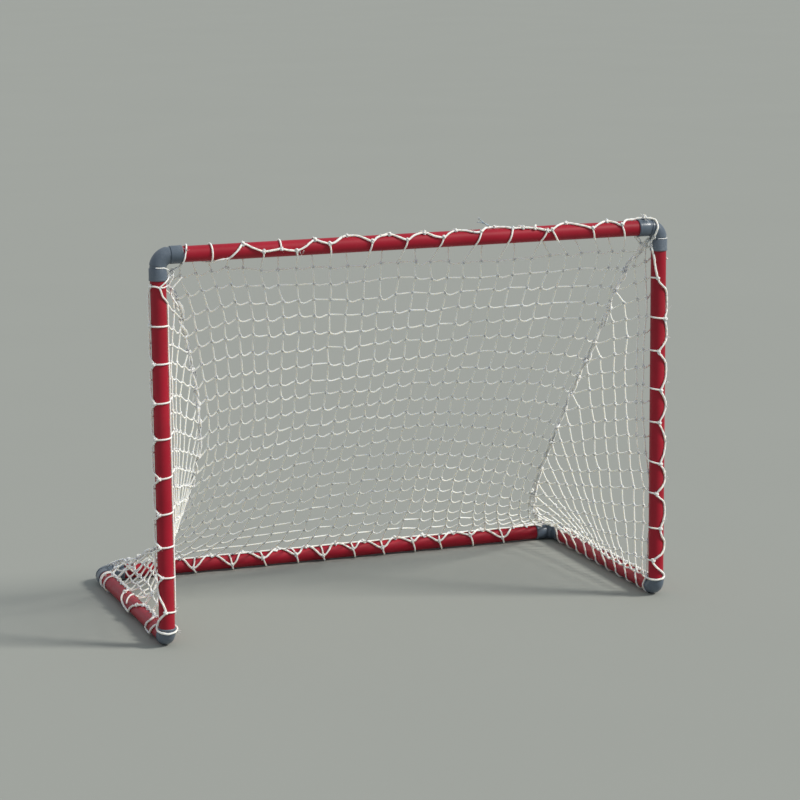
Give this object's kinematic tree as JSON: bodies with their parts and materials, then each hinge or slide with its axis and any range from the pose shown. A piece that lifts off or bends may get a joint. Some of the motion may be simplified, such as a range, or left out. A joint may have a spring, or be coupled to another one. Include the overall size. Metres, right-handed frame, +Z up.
{
  "type": "hockey goal with net",
  "caption": "Backyard hockey goal: a rigid frame of red plastic tubes and grey slip elbows, with a roped white knotted twine net sloping from the crossbar to the rear ground bar.",
  "frame": {"origin": "on the ground, at the centre of the frame's footprint", "axes": "+X to the goal's right as seen by someone facing the open mouth, +Y from the mouth to the back, +Z up"},
  "size_m": [1.6892, 0.8956, 1.2225],
  "materials": {
    "red_tube": "smooth extruded deep red plastic with a soft sheen",
    "grey_elbow": "moulded slate grey plastic, semi-matt",
    "twine": "twisted off-white net twine",
    "cord": "twisted off-white cord with loose fibres"
  },
  "bodies": {
    "root": {"crossbar": "red_tube", "left_post": "red_tube", "right_post": "red_tube", "left_side_bar": "red_tube", "right_side_bar": "red_tube", "rear_bar": "red_tube", "top_left_elbow": "grey_elbow", "top_right_elbow": "grey_elbow", "front_left_elbow": "grey_elbow", "front_right_elbow": "grey_elbow", "rear_left_elbow": "grey_elbow", "rear_right_elbow": "grey_elbow", "back_net": "twine", "left_net": "twine", "right_net": "twine", "left_seam_cord": "cord", "right_seam_cord": "cord", "crossbar_rope": "cord", "left_post_rope": "cord", "right_post_rope": "cord", "left_side_rope": "cord", "right_side_rope": "cord", "rear_bar_rope": "cord"}
  },
  "joints": []
}
